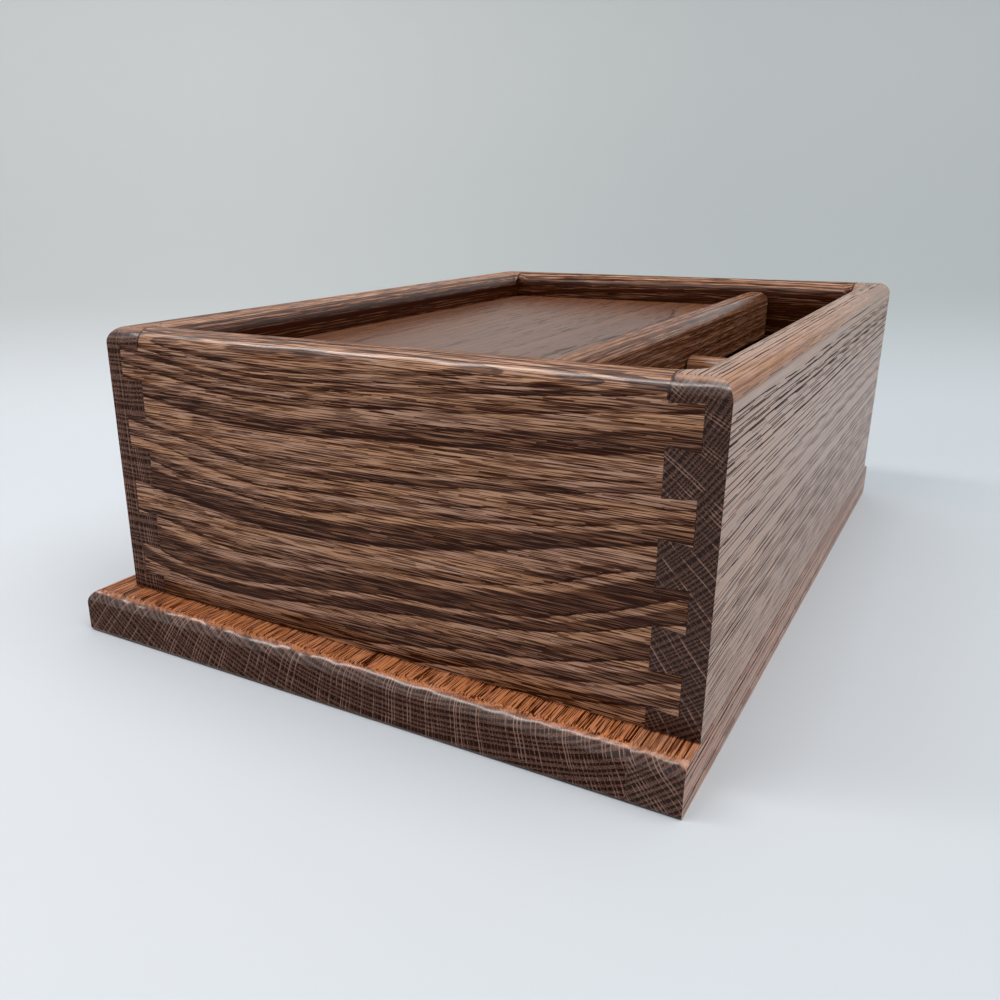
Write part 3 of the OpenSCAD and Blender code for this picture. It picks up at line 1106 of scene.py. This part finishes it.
@dataclass
class Studio:
    """The camera, the pale sweep and the soft lights.

    Attributes:
        place: where the camera stands.
        heading: the camera's turn from looking along -X, clockwise from above, in degrees.
        dip: how far the camera looks down, in degrees.
        roll: the camera's turn about its own axis, in degrees.
        sensor: the width of the camera's sensor in mm.
        lens: the camera's focal length in mm.
        shift: the lens shift that the photograph's framing needs.
        near_clip: how near to the camera things still show.
        floor_near: how far the floor reaches behind the camera.
        floor_far: how far ahead of the camera the sweep's curve starts.
        curve: the radius of the curve.
        wall: the height of the wall's upper edge.
        half_width: half the sweep's width.
        grid: the number of points across the sweep and along it.
        straight: the number of grid cells along the floor, and along the wall.
        middle: the point that the lights face.
        lamps: the lights.
        even: colour and strength of the world that lights the object.
        pale: colour and strength of the world that the camera and the gloss see.
    """

    place: Triple = (0.42922, 0.19157, 0.17749)
    heading: float = -31.157
    dip: float = 19.012
    roll: float = -0.503
    sensor: float = 36.0
    lens: float = 33.18
    shift: Pair = (0.0603, 0.0202)
    near_clip: float = 0.01
    floor_near: float = 2.2
    floor_far: float = 0.66
    curve: float = 0.42
    wall: float = 1.6
    half_width: float = 3.0
    grid: tuple[int, int] = (9, 65)
    straight: int = 8
    middle: Triple = (0.0, 0.0, 0.08)
    lamps: tuple[SoftBox, ...] = (
        SoftBox("ceiling_strip", (0.66, -0.66, 1.42), (1.15, 0.25), 10.0),
        SoftBox("overhead", (0.10, 0.48, 1.40), (1.5, 1.3), 19.0),
        SoftBox("right_fill", (0.10, 1.25, 0.75), (1.2, 0.9), 2.5),
    )
    even: tuple[Triple, float] = ((1.0, 0.99, 0.97), 0.30)
    pale: tuple[Triple, float] = ((0.52, 0.55, 0.565), 1.0)

    def set_camera(self) -> None:
        """Makes the camera at the photograph's place, turned by heading, dip and roll."""
        yaw = math.radians(self.heading)
        pitch = math.radians(self.dip)
        roll = math.radians(self.roll)
        level = math.cos(pitch)
        ahead = Vector((-level * math.cos(yaw), level * math.sin(yaw), -math.sin(pitch)))
        right = ahead.cross(Vector((0.0, 0.0, 1.0))).normalized()
        up = right.cross(ahead)
        side = right * math.cos(roll) + up * math.sin(roll)
        top = up * math.cos(roll) - right * math.sin(roll)
        turn = Matrix((side, top, -ahead)).transposed().to_4x4()
        data = bpy.data.cameras.new("photo_camera")
        data.sensor_width = self.sensor
        data.lens = self.lens
        data.shift_x, data.shift_y = self.shift
        data.clip_start = self.near_clip
        camera = bpy.data.objects.new("photo_camera", data)
        camera.matrix_world = Matrix.Translation(Vector(self.place)) @ turn
        bpy.context.scene.collection.objects.link(camera)
        bpy.context.scene.camera = camera

    def sweep_points(self) -> np.ndarray:
        """Works out the sweep: a flat floor, a quarter circle and an upright wall.

        The profile runs along v: distance from the camera and height. A point before the curve is
        (v, 0); on it, (start + R sin a, R - R cos a); above it, (start + R, height). The profile
        is carried sideways along u, square to the camera's heading.

        Returns:
            The grid of points, as rows of x, y and z.
        """
        turn = np.linspace(0.0, math.pi / 2.0, self.grid[1] - 2 * self.straight)
        flat = np.linspace(-self.floor_near, self.floor_far, self.straight + 1)[:-1]
        rise = np.linspace(self.curve, self.wall, self.straight + 1)[1:]
        bent = self.floor_far + self.curve * np.sin(turn)
        upright = np.full(self.straight, self.floor_far + self.curve)
        reach = np.concatenate((flat, bent, upright))
        height = np.concatenate((np.zeros(self.straight), self.curve * (1.0 - np.cos(turn)), rise))
        across = np.linspace(-self.half_width, self.half_width, self.grid[0])
        yaw = math.radians(self.heading)
        ahead = np.array((-math.cos(yaw), math.sin(yaw)))
        side = np.array((ahead[1], -ahead[0]))
        start = np.array(self.place[:2])
        plan = start + reach[None, :, None] * ahead + across[:, None, None] * side
        tall = np.broadcast_to(height[None, :, None], (self.grid[0], self.grid[1], 1))
        return np.concatenate((plan, tall), axis=2).reshape(-1, 3)

    def build_sweep(self) -> bpy.types.Object:
        """Builds the sweep as one grid of quads.

        Returns:
            The sweep's object.
        """
        rows, columns = self.grid
        index = np.arange(rows * columns).reshape(rows, columns)
        corners = (index[:-1, :-1], index[:-1, 1:], index[1:, 1:], index[1:, :-1])
        quads = np.stack(corners, axis=2).reshape(-1, 4)
        mesh = bpy.data.meshes.new("sweep")
        mesh.from_pydata(self.sweep_points().tolist(), [], quads.tolist())
        mesh.polygons.foreach_set("use_smooth", np.ones(len(quads), dtype=bool))
        mesh.update()
        sweep = bpy.data.objects.new("sweep", mesh)
        mesh.materials.append(PaperSweep().make())
        bpy.context.scene.collection.objects.link(sweep)
        return sweep

    def set_light(self) -> None:
        """Lights the stage: an even world, a strip at the camera's left, one overhead and a fill.

        The world lights the object evenly. The camera and the gloss see it as pale as the sweep's wall.
        """
        graph = Graph(bpy.data.worlds.new("studio"))
        path = graph.node("ShaderNodeLightPath", None, None, "Is Camera Ray")
        seen = path.most(path.other("Is Glossy Ray")).most(path.other("Is Transmission Ray"))
        lit, shown = (
            graph.node("ShaderNodeBackground", None, {"Color": (*colour, 1.0), "Strength": strength})
            for colour, strength in (self.even, self.pale)
        )
        mixed = graph.node("ShaderNodeMixShader", None, {0: seen, 1: lit, 2: shown})
        bpy.context.scene.world = graph.close(mixed)
        for lamp in self.lamps:
            lamp.hang(Vector(self.middle))
        bpy.context.scene.view_settings.view_transform = "Standard"


def main() -> None:
    """Builds the stage and dresses the sub-assemblies in order."""
    logging.basicConfig(level=logging.INFO, format="%(name)s: %(message)s")
    studio = Studio()
    studio.set_camera()
    studio.build_sweep()
    studio.set_light()
    case = Case()
    case.dress_boards()
    case.dress_base()
    case.dress_inside()
    case.dress_screws()
    Tray().dress_parts()


if __name__ == "__main__":
    main()
